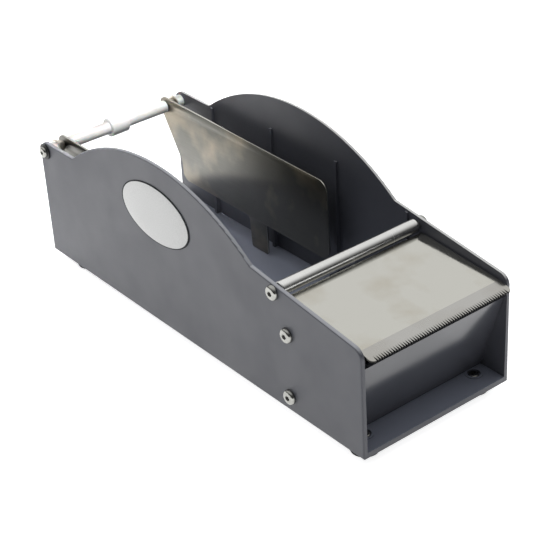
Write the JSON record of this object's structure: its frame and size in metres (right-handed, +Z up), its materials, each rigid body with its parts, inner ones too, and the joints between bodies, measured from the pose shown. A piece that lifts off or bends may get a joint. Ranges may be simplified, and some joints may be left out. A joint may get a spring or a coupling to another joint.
{
  "type": "ribbon spool dispenser",
  "caption": "Open grey tub for a roll of wide paper ribbon, with a guide roller, a sawtooth deck plate and hinged side guides.",
  "frame": {"origin": "centre of the footprint, on the table under the feet", "axes": "+Z up, -Y towards the sawtooth front, X across the width with the label on the -X side"},
  "size_m": [0.1194, 0.325, 0.1224],
  "materials": {
    "tub_plastic": "satin moulded grey plastic",
    "bridge_plastic": "satin moulded grey plastic",
    "deck_steel": "satin stainless sheet",
    "plate_steel": "satin stainless sheet",
    "roller_metal": "turned and polished bar",
    "screw_steel": "bright zinc plating",
    "washer_black": "black coated",
    "white_plastic": "white extruded plastic",
    "foot_rubber": "moulded black rubber",
    "label_silver": "pearl silver faced plate"
  },
  "bodies": {
    "tub": {"body_tub": "tub_plastic", "front_bridge": "bridge_plastic", "cutter_plate": "deck_steel", "oval_label": "label_silver", "roller_screw_left": "screw_steel", "hanger_screw_left": "screw_steel", "hanger_washer_left": "washer_black", "hanger_inner_washer_left": "screw_steel", "hanger_spacer_left": "white_plastic", "hanger_nut_left": "screw_steel", "bridge_screws_left": "screw_steel", "bridge_nuts_left": "screw_steel", "roller_screw_right": "screw_steel", "hanger_screw_right": "screw_steel", "hanger_washer_right": "washer_black", "hanger_inner_washer_right": "screw_steel", "hanger_spacer_right": "white_plastic", "hanger_nut_right": "screw_steel", "bridge_screws_right": "screw_steel", "bridge_nuts_right": "screw_steel", "foot_front_left": "foot_rubber", "foot_front_right": "foot_rubber", "foot_rear_left": "foot_rubber", "foot_rear_right": "foot_rubber", "foot_screws": "screw_steel", "foot_nuts": "screw_steel"},
    "guide_left": {"guide_plate_left": "plate_steel"},
    "guide_right": {"guide_plate_right": "plate_steel"},
    "roller": {"guide_roller": "roller_metal"},
    "sleeve": {"sleeve_tube": "white_plastic", "sleeve_collar": "white_plastic"}
  },
  "joints": [
    {"name": "left_guide_lift", "type": "hinge", "parent": "tub", "child": "guide_left", "pos_m": [-0.04145, 0.1557, 0.0843], "axis": [-1, 0, 0], "range_deg": [0, 205]},
    {"name": "right_guide_lift", "type": "hinge", "parent": "tub", "child": "guide_right", "pos_m": [0.04145, 0.1557, 0.0843], "axis": [-1, 0, 0], "range_deg": [0, 205]},
    {"name": "roller_spin", "type": "hinge", "parent": "tub", "child": "roller", "pos_m": [0, -0.0835, 0.083], "axis": [1, 0, 0], "continuous": true},
    {"name": "sleeve_spin", "type": "hinge", "parent": "tub", "child": "sleeve", "pos_m": [0, 0.1557, 0.0843], "axis": [1, 0, 0], "continuous": true}
  ]
}
